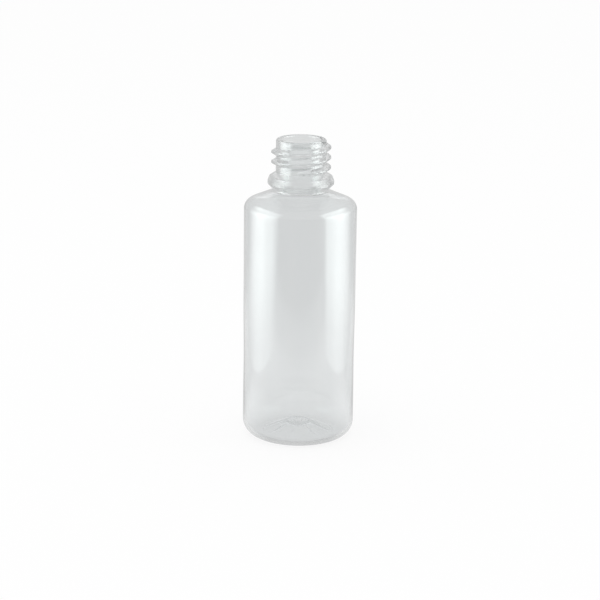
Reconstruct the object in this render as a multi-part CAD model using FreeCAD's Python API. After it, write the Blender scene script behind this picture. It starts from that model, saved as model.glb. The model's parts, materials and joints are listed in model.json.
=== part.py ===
"""Clear screw-neck bottle of about 50 ml, blown in one piece from an injection-moulded preform.

Millimetres, +Z up. The origin is the centre of the footprint, on the surface that the bottle stands on.
The wall is thin in the body, a little thicker at the shoulder and base, and thickest in the threaded neck.
"""
import FreeCAD
import Part

import math
import os

from FreeCAD import Vector

# Body and shoulder
overall_height = 92.0
body_diameter = 34.0
body_wall = 0.5
shoulder_slope = 23.0  # degrees below level, from the neck outwards
shoulder_round = 3.0
shoulder_wall_at_neck = 0.8

# Foot: a flat standing ring with a push-up inside it
heel_round = 4.5
standing_ring_width = 1.6
standing_ring_wall = 0.8
ring_inside_shift = 0.3  # how much nearer the axis the ring's edge lies on the inside
push_up_height = 2.8
push_up_crown_radius = 3.2
push_up_wall = 1.2
push_up_round = 2.5
push_up_lip_round = 1.0
gate_mark_diameter = 2.4
gate_mark_height = 0.4

# Radial grooves on the underside of the push-up
groove_count = 8
groove_width = 2.0
groove_depth = 0.3
groove_inner_radius = 4.6
groove_outer_radius = 8.6
groove_first_angle = -101.5  # degrees from +X, seen from above: just left of the front

# Neck finish, measured down from the rim
neck_root_diameter = 15.1
neck_bore_diameter = 11.8
rim_outer_round = 0.75
rim_inner_round = 0.55
neck_length = 15.6
neck_foot_diameter = 16.8
neck_foot_round = 0.5
bore_foot_round = 2.5

# Locking bead under the thread, which holds a tamper-evident band
bead_upper_diameter = 18.9
bead_land_diameter = 19.9
bead_cone_start = 10.05
bead_upper_edge = 11.3
bead_land_start = 12.6
bead_lower_edge = 13.5
bead_foot = 15.1
bead_round = 0.2

# Right-hand thread, 18 mm nominal
thread_diameter = 17.9
thread_pitch = 3.0
thread_base_width = 2.7  # where its foot is buried in the neck
thread_crest_width = 0.3
thread_turns = 2.45
thread_start_angle = -105.0  # degrees from +X, seen from above: just left of the front
thread_fade_angle = 45.0
thread_end_width = 0.35  # width of the thread's faded ends, as a share of the full width
thread_first_crest = 9.4  # the start's crest, measured down from the rim
thread_root_overlap = 0.2  # depth of the thread's foot in the neck
thread_end_rise = 0.07  # crest over foot at the faded ends, less than the overlap, so it stays buried
thread_sections_per_turn = 12

seam_angle = 11.0  # where the turned faces close on themselves, clear of the grooves

# Radii and heights that follow
body_radius = body_diameter / 2
body_inner_radius = body_radius - body_wall
bore_radius = neck_bore_diameter / 2
neck_root_radius = neck_root_diameter / 2
neck_foot_radius = neck_foot_diameter / 2
neck_foot_height = overall_height - neck_length
shoulder_fall = math.tan(math.radians(shoulder_slope))
upright_share = 1 / math.cos(math.radians(shoulder_slope))  # height of a sloping wall over its thickness
shoulder_corner_height = neck_foot_height - (body_radius - neck_foot_radius) * shoulder_fall
ring_outer_radius = body_radius - heel_round
ring_inner_radius = ring_outer_radius - standing_ring_width


def below_rim(depth):
    """Height of a feature that lies depth under the rim."""
    return overall_height - depth


def rounded_outline(corners):
    """Edges in the XZ plane through the corners (radius, height, round), each corner rounded by a tangent arc."""
    points = [Vector(r, 0, z) for r, z, _ in corners]
    edges = []
    pen = points[0]
    for before, corner, after, (_, _, rounding) in zip(points, points[1:], points[2:], corners[1:]):
        if rounding:
            back = (before - corner).normalize()
            ahead = (after - corner).normalize()
            half_angle = back.getAngle(ahead) / 2
            start = corner + back * (rounding / math.tan(half_angle))
            end = corner + ahead * (rounding / math.tan(half_angle))
            centre = corner + (back + ahead).normalize() * (rounding / math.sin(half_angle))
            middle = centre + (corner - centre).normalize() * rounding
            edges.append(Part.makeLine(pen, start))
            edges.append(Part.Arc(start, middle, end).toShape())
            pen = end
        else:
            edges.append(Part.makeLine(pen, corner))
            pen = corner
    edges.append(Part.makeLine(pen, points[-1]))
    return edges


def wall_section():
    """Half of the bottle's section: up the outside from the push-up to the rim, then down the inside to the axis."""
    push_up_top = push_up_height + push_up_wall
    inner_corner_height = shoulder_corner_height + body_wall * (shoulder_fall - upright_share)
    under_neck_foot = neck_foot_height - shoulder_wall_at_neck * upright_share
    inner_fall = (under_neck_foot - inner_corner_height) / (body_inner_radius - neck_foot_radius)
    inner_neck_height = under_neck_foot + (neck_foot_radius - bore_radius) * inner_fall
    inner_ring_radius = ring_inner_radius - ring_inside_shift
    outside = [
        (0, push_up_height, 0),
        (push_up_crown_radius, push_up_height, push_up_round),
        (ring_inner_radius, 0, push_up_lip_round),
        (body_radius, 0, heel_round),
        (body_radius, shoulder_corner_height, shoulder_round),
        (neck_foot_radius, neck_foot_height, neck_foot_round),
        (neck_foot_radius, below_rim(bead_foot), 0),
        (bead_land_diameter / 2, below_rim(bead_lower_edge), bead_round),
        (bead_land_diameter / 2, below_rim(bead_land_start), bead_round),
        (bead_upper_diameter / 2, below_rim(bead_upper_edge), bead_round),
        (neck_root_radius, below_rim(bead_cone_start), bead_round),
        (neck_root_radius, overall_height, rim_outer_round),
    ]
    inside = [
        (bore_radius, overall_height, rim_inner_round),
        (bore_radius, inner_neck_height, bore_foot_round),
        (body_inner_radius, inner_corner_height, shoulder_round - body_wall),
        (body_inner_radius, standing_ring_wall, heel_round - body_wall),
        (inner_ring_radius, standing_ring_wall, push_up_lip_round),
        (push_up_crown_radius, push_up_top, push_up_round),
        (0, push_up_top, 0),
    ]
    edges = rounded_outline(outside + inside)
    edges.append(Part.makeLine(Vector(0, 0, push_up_top), Vector(0, 0, push_up_height)))
    return Part.Face(Part.Wire(edges))


def blown_wall():
    """The whole wall of the bottle, turned round the axis."""
    wall = wall_section().revolve(Vector(0, 0, 0), Vector(0, 0, 1), 360)
    wall.rotate(Vector(0, 0, 0), Vector(0, 0, 1), seam_angle)
    return wall


def fade(angle, whole_angle):
    """Share of the full thread height: it grows in over the fade angle and dies out again at the other end."""
    buried = thread_end_rise / (thread_diameter / 2 - neck_root_radius + thread_root_overlap)
    share = min(angle, whole_angle - angle) / thread_fade_angle
    share = max(0.0, min(1.0, share))
    return buried + (1 - buried) * share * share * (3 - 2 * share)


def thread_section(angle, whole_angle):
    """The four corners of the thread's trapezoid at an angle from its start: lower foot, lower and upper crest, foot."""
    share = fade(angle, whole_angle)
    foot_radius = neck_root_radius - thread_root_overlap
    crest_radius = foot_radius + (thread_diameter / 2 - foot_radius) * share
    width_share = thread_end_width + (1 - thread_end_width) * share
    half_foot = thread_base_width / 2 * width_share
    half_crest = thread_crest_width / 2 * width_share
    middle = below_rim(thread_first_crest) + thread_pitch * angle / 360
    turn = math.radians(thread_start_angle + angle)
    outline = [
        (foot_radius, middle - half_foot),
        (crest_radius, middle - half_crest),
        (crest_radius, middle + half_crest),
        (foot_radius, middle + half_foot),
    ]
    return [Vector(radius * math.cos(turn), radius * math.sin(turn), height) for radius, height in outline]


def thread_solid():
    """The thread: ruled faces between helical edges through the corners of its sections, closed at both ends."""
    whole_angle = 360 * thread_turns
    last = math.ceil(thread_sections_per_turn * thread_turns)
    sections = [thread_section(whole_angle * number / last, whole_angle) for number in range(last + 1)]
    edges = []
    for corner in zip(*sections):
        helix = Part.BSplineCurve()
        helix.interpolate(list(corner))
        edges.append(helix.toShape())
    faces = [Part.makeRuledSurface(edge, following) for edge, following in zip(edges, edges[1:] + edges[:1])]
    for section in (sections[0], sections[-1]):
        faces.append(Part.Face(Part.makePolygon(section + section[:1])))
    shell = Part.makeShell(faces)
    shell.sewShape()
    solid = Part.Solid(Part.Shell(shell.Faces))
    if solid.Volume < 0:
        solid.reverse()
    return solid


def groove_tool():
    """A round-ended bar that follows the push-up's underside towards +X. Its seam is underneath, clear of the wall."""
    fall = push_up_height / (ring_inner_radius - push_up_crown_radius)
    bar_radius = (groove_width * groove_width / 4 + groove_depth * groove_depth) / (2 * groove_depth)
    ends = []
    for radius in (groove_inner_radius, groove_outer_radius):
        underside = (ring_inner_radius - radius) * fall
        ends.append(Vector(radius, 0, underside + groove_depth - bar_radius))
    inner, outer = ends
    along = (outer - inner).normalize()
    below = Vector(along.z, 0, -along.x)
    halfway = bar_radius * math.sqrt(0.5)
    inner_tip = inner - along * bar_radius
    outer_tip = outer + along * bar_radius
    inner_side = inner + below * bar_radius
    outer_side = outer + below * bar_radius
    inner_arc = Part.Arc(inner_tip, inner + (below - along) * halfway, inner_side)
    outer_arc = Part.Arc(outer_side, outer + (below + along) * halfway, outer_tip)
    outline = Part.Wire([
        inner_arc.toShape(),
        Part.makeLine(inner_side, outer_side),
        outer_arc.toShape(),
        Part.makeLine(outer_tip, inner_tip),
    ])
    return Part.Face(outline).revolve(inner, along, 360)


def base_grooves():
    """The shallow radial grooves, evenly round the push-up."""
    tools = []
    for number in range(groove_count):
        tool = groove_tool()
        tool.rotate(Vector(0, 0, 0), Vector(0, 0, 1), groove_first_angle + 360 * number / groove_count)
        tools.append(tool)
    return tools


def gate_mark():
    """The small round scar that the injection gate leaves at the middle of the underside."""
    mark = Part.makeCylinder(gate_mark_diameter / 2, gate_mark_height + push_up_wall / 2)
    mark.translate(Vector(0, 0, push_up_height - gate_mark_height))
    return mark


def bottle():
    """The finished bottle as one solid."""
    body = blown_wall().fuse(thread_solid())
    body = body.fuse(gate_mark())
    body = body.cut(base_grooves())
    return body.removeSplitter()


os.makedirs("parts", exist_ok=True)
finished = bottle()
finished.exportStep("parts/bottle.step")
print("solids", len(finished.Solids), "valid", finished.isValid(), "volume", round(finished.Volume, 1))
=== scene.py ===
"""Clear screw-neck bottle on a pale floor, between two upright light panels. Metres, +Z up, the mouth on top.

The bottle is one turned wall, closed from the underside of its push-up, over the rim and down the inside. Its
sizes are in millimetres, as on a mould drawing, and become metres where the mesh is made.
"""

import json
import math

import bpy
import numpy as np
from mathutils import Matrix, Vector


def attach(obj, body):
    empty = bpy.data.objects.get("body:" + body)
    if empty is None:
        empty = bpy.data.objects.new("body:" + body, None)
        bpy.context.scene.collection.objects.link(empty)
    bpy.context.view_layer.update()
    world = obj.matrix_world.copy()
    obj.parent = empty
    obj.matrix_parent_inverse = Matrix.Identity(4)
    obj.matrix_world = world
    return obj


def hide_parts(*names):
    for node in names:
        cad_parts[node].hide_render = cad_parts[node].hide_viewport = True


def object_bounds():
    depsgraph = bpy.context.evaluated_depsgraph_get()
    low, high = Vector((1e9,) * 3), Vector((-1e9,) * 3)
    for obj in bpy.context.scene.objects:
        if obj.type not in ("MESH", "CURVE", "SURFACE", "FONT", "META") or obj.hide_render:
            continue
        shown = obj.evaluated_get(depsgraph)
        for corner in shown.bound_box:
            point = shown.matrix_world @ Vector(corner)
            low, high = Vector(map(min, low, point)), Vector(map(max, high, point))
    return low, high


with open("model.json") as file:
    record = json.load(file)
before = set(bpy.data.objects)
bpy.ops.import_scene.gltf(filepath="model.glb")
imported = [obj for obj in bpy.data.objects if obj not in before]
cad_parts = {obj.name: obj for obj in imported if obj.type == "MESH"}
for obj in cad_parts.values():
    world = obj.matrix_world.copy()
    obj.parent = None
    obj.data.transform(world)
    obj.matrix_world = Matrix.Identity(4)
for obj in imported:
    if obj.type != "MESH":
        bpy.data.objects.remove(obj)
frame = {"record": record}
cad_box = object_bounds()

MM = 0.001

# The camera, in metres: where the photograph was taken from, what it was aimed at, and how it was rolled
camera_distance = 0.550
camera_height = 0.1934
camera_lens = 112.5  # millimetres on a 36 mm wide sensor
sensor_width = 36.0
aim_side = 0.0002
aim_height = 0.0422
camera_roll = math.radians(0.73)

# Body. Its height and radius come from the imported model's box
cad_low, cad_high = cad_box
overall_height = (cad_high.z - cad_low.z) / MM
body_radius = min(cad_high.x, -cad_low.x, cad_high.y, -cad_low.y) / MM
body_wall = 0.5
shoulder_slope = math.radians(23.0)
shoulder_round = 3.0
shoulder_wall_at_neck = 0.8

# Foot
heel_round = 4.5
standing_ring_width = 1.6
standing_ring_wall = 0.8
ring_inside_shift = 0.3
push_up_height = 2.8
push_up_crown_radius = 3.2
push_up_wall = 1.2
push_up_round = 2.5
push_up_lip_round = 1.0
gate_mark_radius = 1.2
gate_mark_height = 0.4
gate_mark_round = 0.19
groove_count = 8
groove_width = 2.0
groove_depth = 0.12
groove_inner_radius = 4.6
groove_outer_radius = 8.6
groove_first_angle = -101.5  # degrees from +X, seen from above: just left of the front

# Neck finish, measured down from the rim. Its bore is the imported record's mouth
mounts = {mount["name"]: mount for mount in frame["record"]["mounts"]}
neck_bore_radius = mounts["mouth"]["dims"]["r_mm"]
neck_root_radius = 7.55
neck_length = 15.6
neck_foot_radius = 8.4
neck_foot_round = 0.6
bore_foot_round = 2.5
rim_outer_round = 0.75
rim_inner_round = 0.55
bead_upper_radius = 9.45
bead_land_radius = 9.95
bead_cone_start = 10.05
bead_upper_edge = 11.3
bead_land_start = 12.6
bead_lower_edge = 13.5
bead_foot = 15.1
bead_round = 0.25

# Thread: right-hand, one start. Its angles are in degrees, from +X and along the thread
thread_height = 1.4
thread_pitch = 3.0
thread_foot_width = 2.4
thread_crest_width = 0.3
thread_first_crest = 9.4  # the start's crest, measured down from the rim
thread_start_angle = -105.0
thread_sweep = 882.0
thread_fade_angle = 45.0
thread_end_width = 0.35  # width of the faded ends, as a share of the full width
flank_easing = 0.12  # share of a flank that each of its two rounded ends takes

# The blown wall's waviness, in millimetres inwards and up
waist_depth = 0.11
waist_height = 24.0
waist_spread = 10.0
wave_depth = 0.012
wave_pitch = 23.0
waves_round = 2
wave_fade_in = 6.0  # over this much above the heel's round
wave_end = 66.0
wave_fade_out = 10.0  # over this much below the waves' end

# How fine the turned mesh is: columns round the axis, millimetres along the outline for each row, points in
# a round, and the turning that adds a row
columns = 240
body_step = 1.5
neck_step = 0.13
inside_step = 2.0
arc_points = 24
turn_step = math.radians(7.0)
level_slack = 0.001  # so that a row right at the push-up's height still counts as under it

# The plastic: its colours, its index and a faint painted glow that lightens the light trapped in its thick
# wall
body_tint = (0.93, 0.945, 0.95, 1)
streak_tint = (0.95, 0.96, 0.96, 1)
neck_tint = (0.925, 0.94, 0.94, 1)
plastic_index = 1.575
painted_glow_level = 0.003

# Patterns in the plastic: features to the metre, detail, and factors under 1 that draw them out along an axis
streak_pattern = (260, 2, (1, 1, 0.08))
cloud_pattern = (90, 3)
ripple_pattern = (70, 1, (1, 1, 0.5))
cloud_range = (0.3, 0.7)
ripple_strength = 0.05
ripple_depth = 0.0004  # metres

# Roughness: from clear to cloudy in the body, and what the neck, the push-up and the bead have on top of that
body_haze = (0.015, 0.05)
neck_haze = 0.085
foot_haze = 0.03
bead_haze = 0.08

# Where those places begin and end, in metres up, or in square metres for a squared distance from the axis.
# A band's four values are where it starts, where it is whole from and to, and where it ends
neck_start = (0.0762, 0.0768)
bead_band = (0.0781, 0.0786, 0.0807, 0.0812)
foot_top = (0.0055, 0.0045)
foot_rim = (0.00014, 0.00011)

# The studio's tones, as linear levels
backdrop_level = 0.77
ceiling_level = 0.6
front_room_level = 0.20
inner_room_level = 0.62  # the front room in the gloss of the wall's inner face
table_level = 0.92
table_painted_light = 0.4  # painted light: what the floor has on top of that under the panels, a pool of their light
near_side_level = 0.92
far_side_level = 0.62
fan_depth = 0.2
horizon_depth = 0.12
# Painted shadow: how much darker the floor is, as the bottle shows it, in a ring in front of the heel
heel_shadow_depth = 0.3
streak_level = 0.7
deep_level = 0.66
gathered_level = 0.9  # what a matt surface gathers from the world
no_tint = (1, 1, 1)  # a plain grey or white

# Where the floor's tones change, in metres: sideways from the axis, or backwards from it along +Y. A pair is
# the start and the end of a change
table_front = (-0.125, -0.070)
# Where the floor's painted pool of the panels' light lies, sideways and along
table_painted_light_sides = (0.02, 0.05)
table_painted_light_front = (-0.04, -0.005)
back_start = (0.0, 0.03)
side_start = (0.04, 0.08)
side_lean = 0.2  # how much further out the sides start for each metre back
side_darkening = (0.08, 0.16)
fan_middle = 0.019
fan_lean = 0.3  # how much further out the fans lie for each metre back
fan_edge = (0.016, 0.004)
fan_start = (0.0, 0.02)
horizon_start = (0.4, 0.6)
# Where the painted shadow lies: a ring round the axis, in front of the bottle's heel
heel_shadow_band = (0.00014, 0.00020, 0.00030, 0.00042)  # square metres, for a squared distance from the axis
heel_shadow_front = (-0.003, -0.013)
floor_reach = 3.0
floor_drop = 0.00005
floor_colour = (0.9, 0.9, 0.9, 1)
floor_own_light = 0.9  # share of what shows of the floor that is its own light

# Where the world's tones change, as parts of a direction whose length is 1: up, sideways or backwards
ceiling_edge = (0.7, 0.3)
backdrop_edge = (-0.2, 0.3)
horizon_edge = (0.25, 0.1)
behind_edge = (0.0, 0.3)
streak_band = (0.03, 0.05, 0.06, 0.12)
streak_top = (0.40, 0.34)

# The light panels, in metres. From its front edge, how much of a panel shows rises steeply between a pair of
# places and slowly over a width after them
panel_tint = (0.94, 1.0, 0.99)
panel_level = 3.7
back_panel_level = 0.8  # seen through one face of the wall or more
inner_panel_level = 0.75  # seen through just two
panel_distance = 0.085
panel_top = 0.180
panel_top_fade = 0.15
panel_front_lean = 0.25  # how much further forward the front edge lies for each metre up
left_panel_rise = (-0.090, -0.042)
right_panel_rise = (-0.076, -0.048)
panel_steep_share = 0.75
panel_slow_width = 0.038
panel_back = 0.046
panel_back_fade = 0.067
panel_back_corner = 0.1  # above this the back edge leans back as much as it rises
panel_foot = (0.0, 0.04)
panel_foot_share = 0.35
panel_gain = (0.045, 0.07, 1.25, 1.75)  # two heights, and the level's factor at each
panel_loss = (0.085, 0.1, 0.0, 0.6)  # two heights, and what comes off that factor at each

# The lamp above, in metres and watts
lamp_width = 0.6
lamp_power = 1.5
lamp_place = (-0.15, -0.1, 0.9)

most_bounces = 200  # of a ray of light, on its way through the neck


def below_rim(depth):
    """Height of a feature that lies depth under the rim."""
    return overall_height - depth


def tangent_arc(before, corner, after, rounding):
    """Points of the arc that is tangent to both sides of a corner. Its centre is on the bisector, the
    round's radius over the sine of half the corner's angle away, and its points are evenly spread from one
    tangent point to the other."""
    back = (before - corner) / np.linalg.norm(before - corner)
    ahead = (after - corner) / np.linalg.norm(after - corner)
    half_angle = math.acos(float(np.clip(back @ ahead, -1, 1))) / 2
    bisector = (back + ahead) / np.linalg.norm(back + ahead)
    centre = corner + bisector * rounding / math.sin(half_angle)
    start = corner + back * rounding / math.tan(half_angle) - centre
    end = corner + ahead * rounding / math.tan(half_angle) - centre
    first = math.atan2(start[1], start[0])
    turn = (math.atan2(end[1], end[0]) - first + math.pi) % math.tau - math.pi
    angles = first + turn * np.linspace(0, 1, arc_points)
    return centre + rounding * np.stack([np.cos(angles), np.sin(angles)], axis=1)


def rounded_outline(corners):
    """The outline through the corners (radius, height, round): straight lines joined by tangent arcs."""
    places = [np.array(corner[:2], float) for corner in corners]
    stretches = [places[0][None]]
    for before, corner, after, (_, _, rounding) in zip(places, places[1:], places[2:], corners[1:]):
        stretches.append(tangent_arc(before, corner, after, rounding) if rounding else corner[None])
    stretches.append(places[-1][None])
    return np.concatenate(stretches)


def spread_rows(outline, step):
    """The outline's rows, each an equal share of two sums: its length over the step, and its turning over
    the turn step."""
    along = np.diff(outline, axis=0)
    length = np.linalg.norm(along, axis=1)
    heading = np.unwrap(np.arctan2(along[:, 1], along[:, 0]))
    bend = np.abs(np.diff(heading))
    turning = np.concatenate([[0], bend / 2]) + np.concatenate([bend / 2, [0]])
    weight = np.concatenate([[0], np.cumsum(length / step + turning / turn_step)])
    wanted = np.linspace(0, weight[-1], math.ceil(weight[-1]) + 1)
    return np.stack([np.interp(wanted, weight, outline[:, axis]) for axis in (0, 1)], axis=1)


def wall_rows():
    """The rows of the whole wall, and which of them are outside. They go up from the push-up, over the rim
    and down the inside, and are finest from the bead's upper side, over the thread and the rim, to just
    inside the mouth."""
    shoulder_fall = math.tan(shoulder_slope)
    neck_foot_height = below_rim(neck_length)
    shoulder_corner = neck_foot_height - (body_radius - neck_foot_radius) * shoulder_fall
    ring_outer = body_radius - heel_round
    ring_inner = ring_outer - standing_ring_width
    fine_radius = (bead_upper_radius + bead_land_radius) / 2
    fine_from = below_rim((bead_upper_edge + bead_land_start) / 2)
    fine_until = below_rim(2 * rim_outer_round)
    push_up_top = push_up_height + push_up_wall
    upright_share = 1 / math.cos(shoulder_slope)
    inner_radius = body_radius - body_wall
    inner_corner = shoulder_corner + body_wall * (shoulder_fall - upright_share)
    under_neck_foot = neck_foot_height - shoulder_wall_at_neck * upright_share
    inner_fall = (under_neck_foot - inner_corner) / (inner_radius - neck_foot_radius)
    inner_neck_height = under_neck_foot + (neck_foot_radius - neck_bore_radius) * inner_fall
    low_outside = [
        (0, push_up_height - gate_mark_height, 0),
        (gate_mark_radius, push_up_height - gate_mark_height, gate_mark_round),
        (gate_mark_radius, push_up_height, gate_mark_round),
        (push_up_crown_radius, push_up_height, push_up_round),
        (ring_inner, 0, push_up_lip_round),
        (body_radius, 0, heel_round),
        (body_radius, shoulder_corner, shoulder_round),
        (neck_foot_radius, neck_foot_height, neck_foot_round),
        (neck_foot_radius, below_rim(bead_foot), 0),
        (bead_land_radius, below_rim(bead_lower_edge), bead_round),
        (bead_land_radius, below_rim(bead_land_start), bead_round),
        (fine_radius, fine_from, 0),
    ]
    neck_outside = [
        (fine_radius, fine_from, 0),
        (bead_upper_radius, below_rim(bead_upper_edge), bead_round),
        (neck_root_radius, below_rim(bead_cone_start), bead_round),
        (neck_root_radius, overall_height, rim_outer_round),
        (neck_bore_radius, overall_height, rim_inner_round),
        (neck_bore_radius, fine_until, 0),
    ]
    inside = [
        (neck_bore_radius, fine_until, 0),
        (neck_bore_radius, inner_neck_height, bore_foot_round),
        (inner_radius, inner_corner, shoulder_round - body_wall),
        (inner_radius, standing_ring_wall, heel_round - body_wall),
        (ring_inner - ring_inside_shift, standing_ring_wall, push_up_lip_round),
        (push_up_crown_radius, push_up_top, push_up_round),
        (0, push_up_top, 0),
    ]
    low = spread_rows(rounded_outline(low_outside), body_step)
    neck = spread_rows(rounded_outline(neck_outside), neck_step)
    inner = spread_rows(rounded_outline(inside), inside_step)
    rows = np.concatenate([low, neck[1:], inner[1:]])
    outside = np.arange(len(rows)) < len(low) + len(neck) - 1
    return rows, outside


def eased_ramp(share):
    """From 0 to 1, straight in the middle, with a parabola over each end's easing share."""
    share = np.clip(share, 0, 1)
    scale = 1 / (1 - flank_easing)
    low = share * share * scale / (2 * flank_easing)
    high = 1 - (1 - share) ** 2 * scale / (2 * flank_easing)
    middle = (share - flank_easing / 2) * scale
    return np.where(share < flank_easing, low, np.where(share > 1 - flank_easing, high, middle))


def smooth_step(share):
    """From 0 to 1 with level ends: 3 s squared less 2 s cubed."""
    share = np.clip(share, 0, 1)
    return share * share * (3 - 2 * share)


def thread_relief(angle, height):
    """How far the thread stands out. Its crest climbs one pitch a turn, and at each place the highest of
    its turns' sections counts: a crest and two straight flanks with rounded ends. The section is lower and
    narrower over the fade angle at both ends of the thread."""
    relief = np.zeros(np.broadcast(angle, height).shape)
    for turn in range(math.ceil(thread_sweep / 360)):
        swept = (angle - thread_start_angle) % 360 + 360 * turn
        share = smooth_step(np.minimum(swept, thread_sweep - swept) / thread_fade_angle)
        width_share = thread_end_width + (1 - thread_end_width) * share
        half_foot = thread_foot_width / 2 * width_share
        half_crest = thread_crest_width / 2 * width_share
        off_crest = np.abs(height - below_rim(thread_first_crest) - thread_pitch * swept / 360)
        flank = eased_ramp((half_foot - off_crest) / (half_foot - half_crest))
        relief = np.maximum(relief, thread_height * share * flank)
    return relief


def groove_relief(angle, radius):
    """Depth of the push-up's grooves: round-ended, radial, evenly spaced and with eased sides. It is the
    full depth on a groove's middle line and smoothly nothing half a width away."""
    spacing = 360 / groove_count
    off_axis = np.radians((angle - groove_first_angle + spacing / 2) % spacing - spacing / 2)
    along = radius * np.cos(off_axis)
    across = radius * np.sin(off_axis)
    half_width = groove_width / 2
    past_end = np.maximum(groove_inner_radius + half_width - along, along - groove_outer_radius + half_width)
    off_line = np.hypot(across, np.maximum(past_end, 0))
    return groove_depth * smooth_step(1 - off_line / half_width)


def wall_waviness(angle, height):
    """How far the blown wall lies in: a shallow waist low on the body, which is a bell curve of the height,
    and faint waves, which are 1 plus the sine of two angles together, one that grows by a full turn for
    each wave's pitch up and twice the angle round the axis. Both fade out at the body's ends."""
    waist = waist_depth * np.exp(-(((height - waist_height) / waist_spread) ** 2))
    along = np.sin(math.tau * height / wave_pitch + waves_round * np.radians(angle))
    low_end = smooth_step((height - heel_round) / wave_fade_in)
    high_end = smooth_step((wave_end - height) / wave_fade_out)
    return (waist + wave_depth * (1 + along)) * (low_end * high_end)


def closed_surface(name, radius, height, angle):
    """A mesh over a grid of rows by columns in polar places (radius, angle, height). Its first and last
    rows are on the axis, so each becomes one vertex with a fan of triangles, and the columns join up round
    the axis."""
    turn = np.radians(angle)
    ring = np.stack([radius * np.cos(turn), radius * np.sin(turn), height], axis=-1)[1:-1]
    around = ring.shape[1]
    first = np.array([[0, 0, height[0, 0]]])
    last = np.array([[0, 0, height[-1, 0]]])
    points = np.concatenate([first, ring.reshape(-1, 3), last]) * MM
    index = 1 + np.arange(ring.shape[0] * around).reshape(-1, around)
    beside = np.roll(index, -1, axis=1)
    quads = np.stack([index[:-1], beside[:-1], beside[1:], index[1:]], axis=-1).reshape(-1, 4)
    first_fan = np.stack([np.zeros(around, int), beside[0], index[0]], axis=-1)
    last_fan = np.stack([np.full(around, len(points) - 1), index[-1], beside[-1]], axis=-1)
    corners = np.concatenate([quads.ravel(), first_fan.ravel(), last_fan.ravel()])
    sizes = np.concatenate([np.full(len(quads), 4), np.full(2 * around, 3)])
    starts = np.concatenate([[0], np.cumsum(sizes)[:-1]])
    mesh = bpy.data.meshes.new(name)
    mesh.vertices.add(len(points))
    mesh.vertices.foreach_set("co", points.astype(np.float32).ravel())
    mesh.loops.add(len(corners))
    mesh.loops.foreach_set("vertex_index", corners.astype(np.int32))
    mesh.polygons.add(len(sizes))
    mesh.polygons.foreach_set("loop_start", starts.astype(np.int32))
    mesh.polygons.foreach_set("use_smooth", np.ones(len(sizes), bool))
    mesh.update(calc_edges=True)
    mesh.validate()
    made = bpy.data.objects.new(name, mesh)
    bpy.context.scene.collection.objects.link(made)
    return made


def turned_bottle():
    """The bottle's wall: the section's rows turned round the axis. The thread stands out from the neck, and
    the grooves and the waviness go into the wall."""
    rows, outside = wall_rows()
    angle = np.linspace(-180, 180, columns, endpoint=False)[None]
    radius = np.repeat(rows[:, :1], columns, axis=1)
    height = np.repeat(rows[:, 1:], columns, axis=1)
    on_body = rows[:, 0] > body_radius - heel_round
    inside_ring = rows[:, 0] < body_radius - heel_round
    on_push_up = outside & inside_ring & (rows[:, 1] < push_up_height + level_slack)
    on_neck = outside & (rows[:, 1] > below_rim(bead_upper_edge))
    relief = thread_relief(angle, height[on_neck])
    on_thread = np.maximum(radius[on_neck], neck_root_radius + relief)
    radius[on_neck] = np.where(relief > 0, on_thread, radius[on_neck])
    height[on_push_up] += groove_relief(angle, radius[on_push_up])
    radius[on_body] -= wall_waviness(angle, height[on_body])
    return closed_surface("clear_bottle", radius, height, angle)


class Socket:
    """A shader socket that takes part in Python expressions. Each operation adds one Math node."""

    def __init__(self, graph, socket):
        self.graph = graph
        self.socket = socket

    def math(self, operation, first, second=None):
        """The result of a Math node on one or two values."""
        return self.graph.node("ShaderNodeMath", {"operation": operation}, {0: first, 1: second})

    def __add__(self, other):
        return self.math("ADD", self, other)

    def __sub__(self, other):
        return self.math("SUBTRACT", self, other)

    def __rsub__(self, other):
        return self.math("SUBTRACT", other, self)

    def __mul__(self, other):
        return self.math("MULTIPLY", self, other)

    def size(self):
        """The value without its sign."""
        return self.math("ABSOLUTE", self)

    def larger(self, other):
        """The larger of this and another value."""
        return self.math("MAXIMUM", self, other)

    def smaller(self, other):
        """The smaller of this and another value."""
        return self.math("MINIMUM", self, other)

    __radd__ = __add__
    __rmul__ = __mul__


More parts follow.
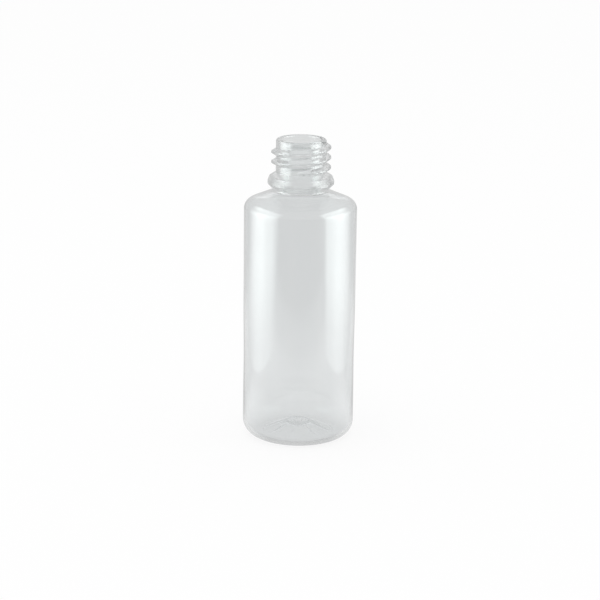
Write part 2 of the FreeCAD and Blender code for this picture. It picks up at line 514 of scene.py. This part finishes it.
class Graph:
    """A node tree that is written as calls and expressions."""

    def __init__(self, owner):
        owner.use_nodes = True
        self.tree = owner.node_tree
        self.tree.nodes.clear()

    def node(self, kind, settings=None, inputs=None, output=0):
        """Adds a node of a kind, makes its settings, then fills its sockets with values or links. Gives one
        of its outputs, or nothing where it has none."""
        made = self.tree.nodes.new(kind)
        for name, value in (settings or {}).items():
            setattr(made, name, value)
        for name, value in (inputs or {}).items():
            if isinstance(value, Socket):
                self.tree.links.new(value.socket, made.inputs[name])
            elif value is not None:
                made.inputs[name].default_value = value
        return Socket(self, made.outputs[output]) if len(made.outputs) else None

    def ease(self, value, start, end, low=0.0, high=1.0):
        """Goes smoothly from low to high while the value goes from start to end."""
        inputs = {"Value": value, "From Min": start, "From Max": end, "To Min": low, "To Max": high}
        return self.node("ShaderNodeMapRange", {"interpolation_type": "SMOOTHSTEP"}, inputs)

    def band(self, value, start, whole_from, whole_to, end):
        """0 up to the start, 1 between the two middle places, and 0 again from the end."""
        return self.ease(value, start, whole_from) * self.ease(value, end, whole_to)

    def blend(self, factor, first, second):
        """A colour between two colours. A Mix node has those sockets for colours at these places."""
        factor_socket, first_socket, second_socket, colour_output = 0, 6, 7, 2
        inputs = {factor_socket: factor, first_socket: first, second_socket: second}
        return self.node("ShaderNodeMix", {"data_type": "RGBA"}, inputs, colour_output)

    def scaled(self, tint, level):
        """A tint of three numbers at a level."""
        return self.node("ShaderNodeVectorMath", {"operation": "SCALE"}, {"Vector": tint, "Scale": level})

    def light(self, tint, level):
        """A shader that gives off a tint of three numbers at a level."""
        colour = self.scaled(tint, level)
        return self.node("ShaderNodeEmission", inputs={"Color": colour, "Strength": 1.0})

    def cover(self, share, under, over):
        """A shader over another one, where share says how much of the upper one shows."""
        return self.node("ShaderNodeMixShader", inputs={0: share, 1: under, 2: over})

    def place(self, axis):
        """One of the three Object coordinates, X, Y or Z. In the world's tree it is a part of the
        direction."""
        spot = self.node("ShaderNodeTexCoord", output="Object")
        return self.node("ShaderNodeSeparateXYZ", inputs={"Vector": spot}, output=axis)

    def noise(self, scale, detail, factors=(1, 1, 1)):
        """Noise on Object coordinates, after they are multiplied by the three factors."""
        spot = self.node("ShaderNodeTexCoord", output="Object")
        spot = self.node("ShaderNodeMapping", inputs={"Vector": spot, "Scale": factors})
        return self.node("ShaderNodeTexNoise", inputs={"Vector": spot, "Scale": scale, "Detail": detail})

    def ray(self, kind):
        """What the Light Path node says of a ray: 1 or 0 for Is Camera Ray and its like, and a count for
        depths."""
        return self.node("ShaderNodeLightPath", output=kind)


def between(start, end, share):
    """A level on its way from start to end, by a share from 0 to 1."""
    return start + share * (end - start)


def clear_plastic():
    """Clear bottle plastic: colourless with a cool cast, glossy, with the faint streaks and ripple of a
    blown wall. The thick neck is a little darker and has no ripple. The neck, its bead and the push-up are
    hazier. The whole wall gives off a faint painted glow."""
    material = bpy.data.materials.new("clear_plastic")
    graph = Graph(material)
    across = graph.place("X")
    along = graph.place("Y")
    up = graph.place("Z")
    neck = graph.ease(up, *neck_start)
    foot = graph.ease(across * across + along * along, *foot_rim) * graph.ease(up, *foot_top)
    bead = graph.band(up, *bead_band)
    streaks = graph.noise(*streak_pattern)
    clouds = graph.noise(*cloud_pattern)
    ripple = graph.noise(*ripple_pattern)
    colour = graph.blend(neck, graph.blend(streaks, body_tint, streak_tint), neck_tint)
    roughness = graph.ease(clouds, *cloud_range, *body_haze)
    roughness = roughness + neck * neck_haze + foot * foot_haze + bead * bead_haze
    surface = graph.node("ShaderNodeBump", inputs={
        "Height": ripple * (1 - neck),
        "Strength": ripple_strength,
        "Distance": ripple_depth,
    })
    shader = graph.node("ShaderNodeBsdfPrincipled", inputs={
        "Base Color": colour,
        "Roughness": roughness,
        "IOR": plastic_index,
        "Transmission Weight": 1.0,
        # Painted light: a faint glow that the wall gives off at every bounce, which lightens the light
        # trapped in the thick neck
        "Emission Color": (1, 1, 1, 1),
        "Emission Strength": painted_glow_level,
        "Normal": surface,
    })
    graph.node("ShaderNodeOutputMaterial", inputs={"Surface": shader})
    return material


def flat_sheet(name, corners, material):
    """A flat four-sided sheet of the stage through its corners."""
    mesh = bpy.data.meshes.new(name)
    mesh.from_pydata(corners, [], [(0, 1, 2, 3)])
    mesh.materials.append(material)
    made = bpy.data.objects.new(name, mesh)
    bpy.context.scene.collection.objects.link(made)
    return made


class StudioRays:
    """How a ray got to the studio's floor, panels or world, as values of 1 or 0. It is one of four:
    straight from the camera, bent by the bottle's wall alone, thrown back by it at least once, or gathered
    by a matt surface. On top of that it may be inner, which has crossed just two faces of the wall, and
    deep, which was thrown back twice or more."""

    def __init__(self, graph):
        gloss = graph.ray("Is Glossy Ray").larger(graph.ray("Is Transmission Ray"))
        faces_crossed = graph.ray("Transmission Depth")
        times_back = graph.ray("Ray Depth") - faces_crossed
        once_back = times_back.larger(0).smaller(1)
        self.camera = graph.ray("Is Camera Ray")
        self.bent = gloss * (1 - once_back)
        self.thrown_back = gloss * once_back
        self.gathered = 1 - self.camera - gloss
        self.inner = (1 - (faces_crossed - 2).size()).larger(0)
        self.deep = (times_back - 1).larger(0).smaller(1)


def floor_in_gloss(graph, rays):
    """What the bottle's gloss shows of the floor. In front it is a table, lighter under the panels with a
    painted pool of their light, and a dim room past its front edge. Behind the bottle it has the backdrop's
    tone, with light sides that darken further back, two darker fans that spread out from the bottle, and a
    darker horizon."""
    sideways = graph.place("X").size()
    along = graph.place("Y")
    front_room = between(front_room_level, inner_room_level, rays.inner)
    table = graph.ease(along, *table_front, front_room, table_level)
    # Painted light: a lighter pool of the panels' light on the table under them
    painted_light_under_panels = graph.ease(sideways, *table_painted_light_sides) * graph.ease(along, *table_painted_light_front)
    table = table + painted_light_under_panels * table_painted_light
    side = graph.ease(along, *side_darkening, near_side_level, far_side_level)
    beside = graph.ease(sideways - along * side_lean, *side_start)
    back = between(backdrop_level, side, beside)
    fan = graph.ease((sideways - fan_middle - along * fan_lean).size(), *fan_edge)
    tone = between(table, back, graph.ease(along, *back_start))
    tone = tone - graph.ease(along, *fan_start) * fan * fan_depth
    tone = tone - graph.ease(along, *horizon_start) * horizon_depth
    return between(tone, deep_level, rays.deep)


def floor_material():
    """Pale matt floor. Most of what the camera and the bottle show of it is its own light, so it stays
    white to the camera and keeps a faint shadow. The bottle's wall shows it in the backdrop's tone and the
    gloss in its own tones, both with a painted shadow, a darker ring in front of the bottle's heel."""
    material = bpy.data.materials.new("pale_floor")
    graph = Graph(material)
    rays = StudioRays(graph)
    across = graph.place("X")
    along = graph.place("Y")
    # Painted shadow: a darker ring on the floor in front of the bottle's heel, in what the bottle shows of
    # the floor
    ring = graph.band(across * across + along * along, *heel_shadow_band) * graph.ease(along, *heel_shadow_front)
    shown = rays.bent * backdrop_level + rays.thrown_back * floor_in_gloss(graph, rays)
    level = rays.camera + shown * (1 - ring * heel_shadow_depth)
    own_light = graph.light(no_tint, level)
    matt = graph.node("ShaderNodeBsdfDiffuse", inputs={"Color": floor_colour})
    share = (rays.camera + rays.bent + rays.thrown_back) * floor_own_light
    graph.node("ShaderNodeOutputMaterial", inputs={"Surface": graph.cover(share, matt, own_light)})
    return material


def add_floor():
    """The floor, a hair below what the bottle stands on, so that the two faces don't coincide."""
    corners = [
        (-floor_reach, -floor_reach, -floor_drop),
        (floor_reach, -floor_reach, -floor_drop),
        (floor_reach, floor_reach, -floor_drop),
        (-floor_reach, floor_reach, -floor_drop),
    ]
    flat_sheet("floor", corners, floor_material())


def panel_material(name, front, middle):
    """A diffusing panel that shows in the bottle's gloss alone, and lets the room behind it show where it
    fades. It rises steeply from its front edge to its middle and slowly from there, and falls off to its
    back edge, its top and its foot. It is strongest just under half way up, and much fainter behind a face
    of the wall."""
    material = bpy.data.materials.new(name)
    graph = Graph(material)
    rays = StudioRays(graph)
    along = graph.place("Y")
    up = graph.place("Z")
    leaning = along + up * panel_front_lean
    steep_rise = graph.ease(leaning, front, middle, 0.0, panel_steep_share)
    slow_rise = graph.ease(leaning, middle, middle + panel_slow_width, 0.0, 1 - panel_steep_share)
    from_back = along - (up - panel_back_corner).larger(0)
    fall = graph.ease(from_back, panel_back, panel_back - panel_back_fade)
    shows = (steep_rise + slow_rise) * fall * (rays.thrown_back - rays.deep)
    shows = shows * graph.ease(up, *panel_foot, panel_foot_share, 1.0)
    shows = shows * graph.ease(up, panel_top, panel_top_fade)
    level = graph.ease(graph.ray("Transmission Depth"), 0, 1, panel_level, back_panel_level)
    level = level + rays.inner * (inner_panel_level - back_panel_level)
    level = level * (graph.ease(up, *panel_gain) - graph.ease(up, *panel_loss))
    light = graph.light(panel_tint, level)
    clear = graph.node("ShaderNodeBsdfTransparent")
    graph.node("ShaderNodeOutputMaterial", inputs={"Surface": graph.cover(shows, clear, light)})
    return material


def add_panel(name, side, front, middle):
    """An upright light panel beside the bottle, on the left for a side of -1 and on the right for 1."""
    x = side * panel_distance
    far_front = front - panel_front_lean * panel_top
    far_back = panel_back + panel_top - panel_back_corner
    corners = [(x, far_front, 0), (x, far_back, 0), (x, far_back, panel_top), (x, far_front, panel_top)]
    panel = flat_sheet(name, corners, panel_material(name, front, middle))
    panel.visible_camera = False
    panel.visible_diffuse = False
    panel.visible_shadow = False


def add_world():
    """Soft light from all round. The camera sees it white, and the bottle's wall in the backdrop's tone.
    The gloss shows that backdrop low at the back, darker at the horizon and with two light streaks beside
    the middle, and a dimmer ceiling over it and in front."""
    world = bpy.data.worlds.new("studio")
    bpy.context.scene.world = world
    graph = Graph(world)
    rays = StudioRays(graph)
    sideways = graph.place("X").size()
    along = graph.place("Y")
    up = graph.place("Z")
    behind = graph.ease(along, *behind_edge)
    streaks = graph.band(sideways, *streak_band) * graph.ease(up, *streak_top) * behind
    backdrop = graph.ease(up, *ceiling_edge) * graph.ease(along, *backdrop_edge)
    room = between(ceiling_level, backdrop_level, backdrop)
    room = room - graph.ease(up, *horizon_edge) * behind * horizon_depth
    room = room + streaks * streak_level
    room = between(room, deep_level, rays.deep)
    shown = rays.bent * backdrop_level + rays.thrown_back * room
    level = rays.camera + shown + rays.gathered * gathered_level
    colour = graph.scaled(no_tint, level)
    background = graph.node("ShaderNodeBackground", inputs={"Color": colour, "Strength": 1.0})
    graph.node("ShaderNodeOutputWorld", inputs={"Surface": background})


def add_lamp():
    """A large soft lamp above, which gives the floor its faint shadow."""
    lamp = bpy.data.lights.new("soft_lamp", "AREA")
    lamp.shape = "DISK"
    lamp.size = lamp_width
    lamp.energy = lamp_power
    holder = bpy.data.objects.new("soft_lamp", lamp)
    bpy.context.scene.collection.objects.link(holder)
    holder.location = lamp_place
    holder.rotation_euler = (-holder.location).to_track_quat("-Z", "Y").to_euler()
    holder.visible_glossy = False
    holder.visible_transmission = False


def allow_deep_paths():
    """Lets light cross the thick neck, where it is thrown to and fro inside the wall many times."""
    cycles = bpy.context.scene.cycles
    cycles.max_bounces = most_bounces
    cycles.glossy_bounces = most_bounces
    cycles.transmission_bounces = most_bounces
    cycles.transparent_max_bounces = most_bounces


def add_camera():
    """The camera, aimed at the bottle's axis and turned about its own line of sight."""
    data = bpy.data.cameras.new("camera")
    data.lens = camera_lens
    data.sensor_width = sensor_width
    viewer = bpy.data.objects.new("camera", data)
    bpy.context.scene.collection.objects.link(viewer)
    place = Vector((0, -camera_distance, camera_height))
    aim = Vector((aim_side, 0, aim_height))
    looking = (aim - place).to_track_quat("-Z", "Y").to_matrix().to_4x4()
    viewer.matrix_world = Matrix.Translation(place) @ looking @ Matrix.Rotation(camera_roll, 4, "Z")
    bpy.context.scene.camera = viewer


bottle = turned_bottle()
bottle.data.materials.append(clear_plastic())
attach(bottle, "root")
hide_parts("bottle")

add_floor()
add_panel("left_panel", -1, *left_panel_rise)
add_panel("right_panel", 1, *right_panel_rise)
add_world()
add_lamp()
add_camera()
allow_deep_paths()
bpy.context.scene.view_settings.view_transform = "Standard"
